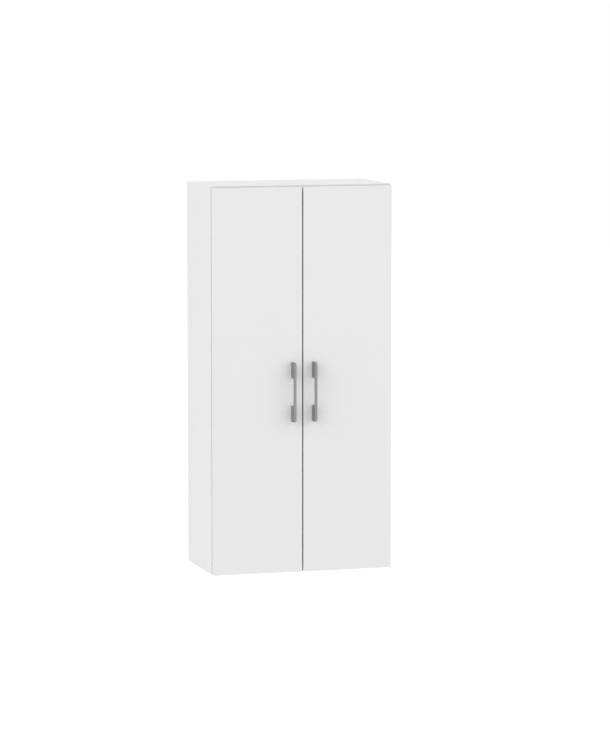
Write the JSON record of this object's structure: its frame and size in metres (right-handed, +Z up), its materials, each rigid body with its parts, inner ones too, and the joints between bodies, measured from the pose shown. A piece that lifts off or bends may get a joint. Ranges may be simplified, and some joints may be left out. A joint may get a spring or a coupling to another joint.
{
  "type": "hanging wall cabinet",
  "caption": "Tall hanging wall cabinet with hinged flush doors, vertical bow handles, concealed hinges, adjustable shelves and a wall hanging rail.",
  "frame": {"origin": "on the wall plane behind the cabinet, middle of its width, at its underside", "axes": "+X to the right seen from the room, +Y towards the wall, +Z up"},
  "size_m": [0.6, 0.352, 1.25],
  "materials": {
    "melamine_board": "white melamine-faced chipboard, smooth satin",
    "back_board": "white faced fibreboard",
    "edge_band": "white ABS edging, satin",
    "handle_metal": "satin grey metal",
    "nickel_plated_steel": "nickel-plated steel, semi-bright",
    "zinc_plated_steel": "bright zinc-plated steel",
    "zinc_die_cast": "raw zinc die-cast",
    "galvanised_steel": "galvanised steel strip",
    "white_plastic": "white moulded plastic",
    "clear_bumper": "clear soft stop",
    "beech": "fluted beech dowel"
  },
  "bodies": {
    "carcass": {"left_side": "melamine_board", "right_side": "melamine_board", "top_panel": "melamine_board", "bottom_panel": "melamine_board", "back_panel": "back_board", "carcass_edge_strips": "edge_band", "lower_shelf": "melamine_board", "middle_shelf": "melamine_board", "upper_shelf": "melamine_board", "shelf_edge_strips": "edge_band", "shelf_pins": "zinc_plated_steel", "dowels": "beech", "cam_bolts": "zinc_plated_steel", "cam_locks": "zinc_die_cast", "left_hinge_arms": "nickel_plated_steel", "left_mounting_plates": "nickel_plated_steel", "right_hinge_arms": "nickel_plated_steel", "right_mounting_plates": "nickel_plated_steel", "arm_pins": "nickel_plated_steel", "arm_screws": "zinc_plated_steel", "plate_screws": "zinc_plated_steel", "left_hanger": "white_plastic", "right_hanger": "white_plastic", "left_hanger_cover": "white_plastic", "right_hanger_cover": "white_plastic", "hanger_screws": "zinc_plated_steel", "adjusting_screws": "zinc_plated_steel"},
    "wall_hanging": {"wall_rail": "galvanised_steel", "left_hook": "galvanised_steel", "right_hook": "galvanised_steel"},
    "left_inner_link": {"left_inner_links": "nickel_plated_steel"},
    "left_outer_link": {"left_outer_links": "nickel_plated_steel", "left_link_pins": "nickel_plated_steel"},
    "left_door": {"left_door": "melamine_board", "left_door_strips": "edge_band", "left_handle": "handle_metal", "left_handle_screws": "zinc_plated_steel", "left_bumpers": "clear_bumper", "left_hinge_cups": "nickel_plated_steel", "left_cup_screws": "zinc_plated_steel", "left_cup_pins": "nickel_plated_steel"},
    "right_inner_link": {"right_inner_links": "nickel_plated_steel"},
    "right_outer_link": {"right_outer_links": "nickel_plated_steel", "right_link_pins": "nickel_plated_steel"},
    "right_door": {"right_door": "melamine_board", "right_door_strips": "edge_band", "right_handle": "handle_metal", "right_handle_screws": "zinc_plated_steel", "right_bumpers": "clear_bumper", "right_hinge_cups": "nickel_plated_steel", "right_cup_screws": "zinc_plated_steel", "right_cup_pins": "nickel_plated_steel"}
  },
  "joints": [
    {"name": "height_adjustment", "type": "slide", "parent": "carcass", "child": "wall_hanging", "axis": [0, 0, 1], "range_m": [-0.006, 0.006]},
    {"name": "left_inner_link_pivot", "type": "hinge", "parent": "carcass", "child": "left_inner_link", "pos_m": [-0.27098, -0.30318, 0.69], "axis": [0, 0, 1], "range_deg": [0, 6.13]},
    {"name": "left_door_hinge", "type": "hinge", "parent": "left_inner_link", "child": "left_door", "pos_m": [-0.29183, -0.311, 0.69], "axis": [0, 0, -1], "range_deg": [0, 100.11]},
    {"name": "left_outer_link_pivot", "type": "hinge", "parent": "carcass", "child": "left_outer_link", "pos_m": [-0.26004, -0.29878, 0.69], "axis": [0, 0, 1], "range_deg": [0, 23.43]},
    {"name": "right_inner_link_pivot", "type": "hinge", "parent": "carcass", "child": "right_inner_link", "pos_m": [0.27098, -0.30318, 0.69], "axis": [0, 0, -1], "range_deg": [0, 6.13]},
    {"name": "right_door_hinge", "type": "hinge", "parent": "right_inner_link", "child": "right_door", "pos_m": [0.29183, -0.311, 0.69], "axis": [0, 0, 1], "range_deg": [0, 100.11]},
    {"name": "right_outer_link_pivot", "type": "hinge", "parent": "carcass", "child": "right_outer_link", "pos_m": [0.26004, -0.29878, 0.69], "axis": [0, 0, -1], "range_deg": [0, 23.43]}
  ],
  "couplings": [
    {"joint": "left_inner_link_pivot", "follows": "left_door_hinge", "ratio": 0.061033},
    {"joint": "left_outer_link_pivot", "follows": "left_door_hinge", "ratio": 0.2338},
    {"joint": "right_inner_link_pivot", "follows": "right_door_hinge", "ratio": 0.061033},
    {"joint": "right_outer_link_pivot", "follows": "right_door_hinge", "ratio": 0.2338}
  ]
}
